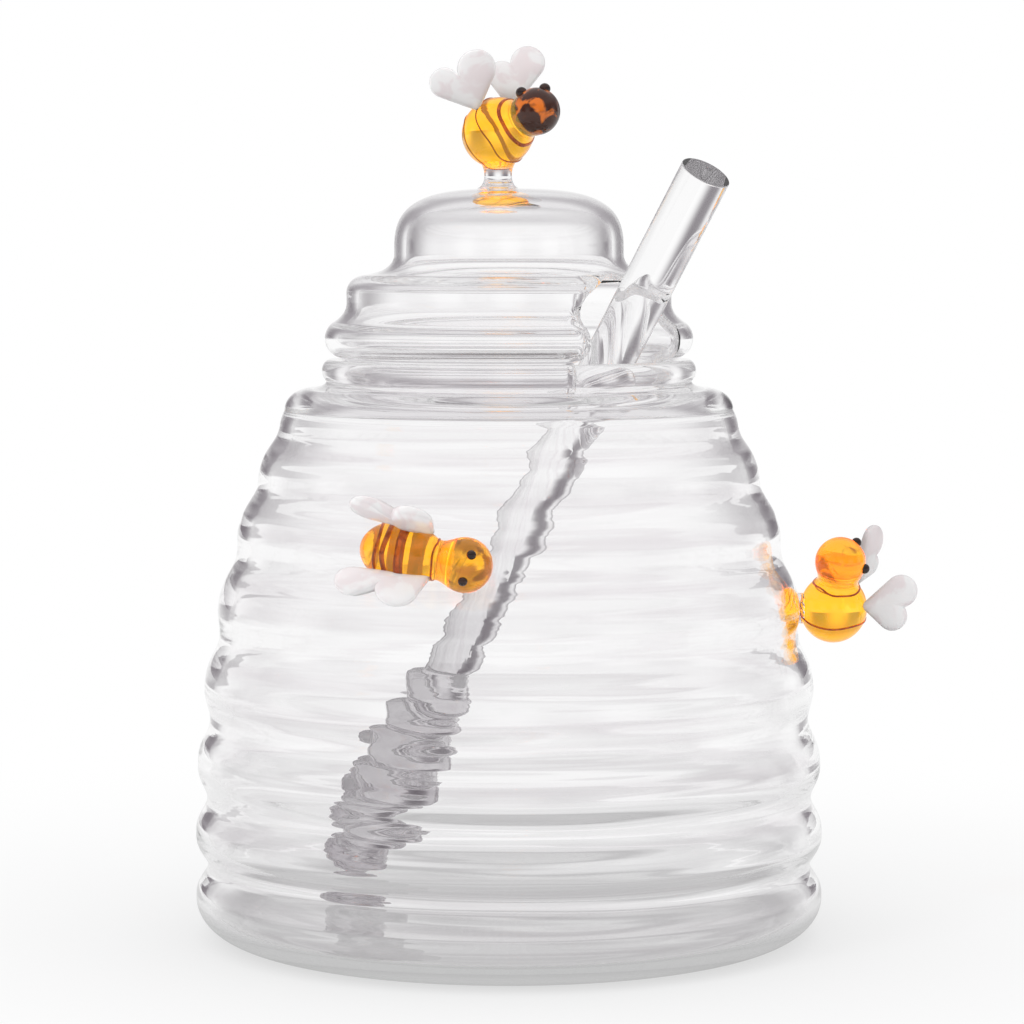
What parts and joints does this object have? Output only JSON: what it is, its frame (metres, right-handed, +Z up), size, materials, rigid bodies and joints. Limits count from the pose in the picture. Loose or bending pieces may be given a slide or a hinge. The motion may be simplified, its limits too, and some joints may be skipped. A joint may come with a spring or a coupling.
{
  "type": "honey pot",
  "caption": "Beehive-shaped clear glass honey pot with a lift-off lid, a glass dipper through the lid's notch, and amber glass bees fused to the jar and the lid.",
  "frame": {"origin": "centre of the jar's flat base, on the table", "axes": "+Z up along the jar's axis, -Y the front with the bee on the jar, +X the right with the bee on the jar's side"},
  "size_m": [0.12, 0.1081, 0.148],
  "materials": {
    "clear_glass": "clear blown borosilicate glass, fire polished",
    "amber_glass": "transparent amber lampworked glass, fire polished",
    "dark_glass": "dark brown glass threads and drops, fire polished",
    "brown_glass": "brown and orange streaked glass, fire polished",
    "milk_glass": "translucent white glass with a pink cast, fire polished"
  },
  "bodies": {
    "jar": {"jar_body": "clear_glass", "front_bee_foot": "clear_glass", "front_bee_abdomen": "amber_glass", "front_bee_bands": "dark_glass", "front_bee_head": "amber_glass", "front_bee_eyes": "dark_glass", "front_bee_wing_left": "milk_glass", "front_bee_wing_right": "milk_glass", "side_bee_foot": "clear_glass", "side_bee_abdomen": "amber_glass", "side_bee_bands": "dark_glass", "side_bee_head": "amber_glass", "side_bee_eyes": "dark_glass", "side_bee_wing_left": "milk_glass", "side_bee_wing_right": "milk_glass"},
    "lid": {"lid_dome": "clear_glass", "lid_bee_stem": "clear_glass", "lid_bee_abdomen": "amber_glass", "lid_bee_bands": "dark_glass", "lid_bee_head": "brown_glass", "lid_bee_antennae": "dark_glass", "lid_bee_wing_left": "milk_glass", "lid_bee_wing_right": "milk_glass"},
    "dipper": {"dipper_rod": "clear_glass", "dipper_head": "clear_glass"}
  },
  "joints": [
    {"name": "lid_lift", "type": "slide", "parent": "jar", "child": "lid", "axis": [0, 0, 1], "range_m": [0, 0.07]},
    {"name": "dipper_draw", "type": "slide", "parent": "jar", "child": "dipper", "axis": [0.404, -0.404, 0.8207], "range_m": [0, 0.06]}
  ]
}
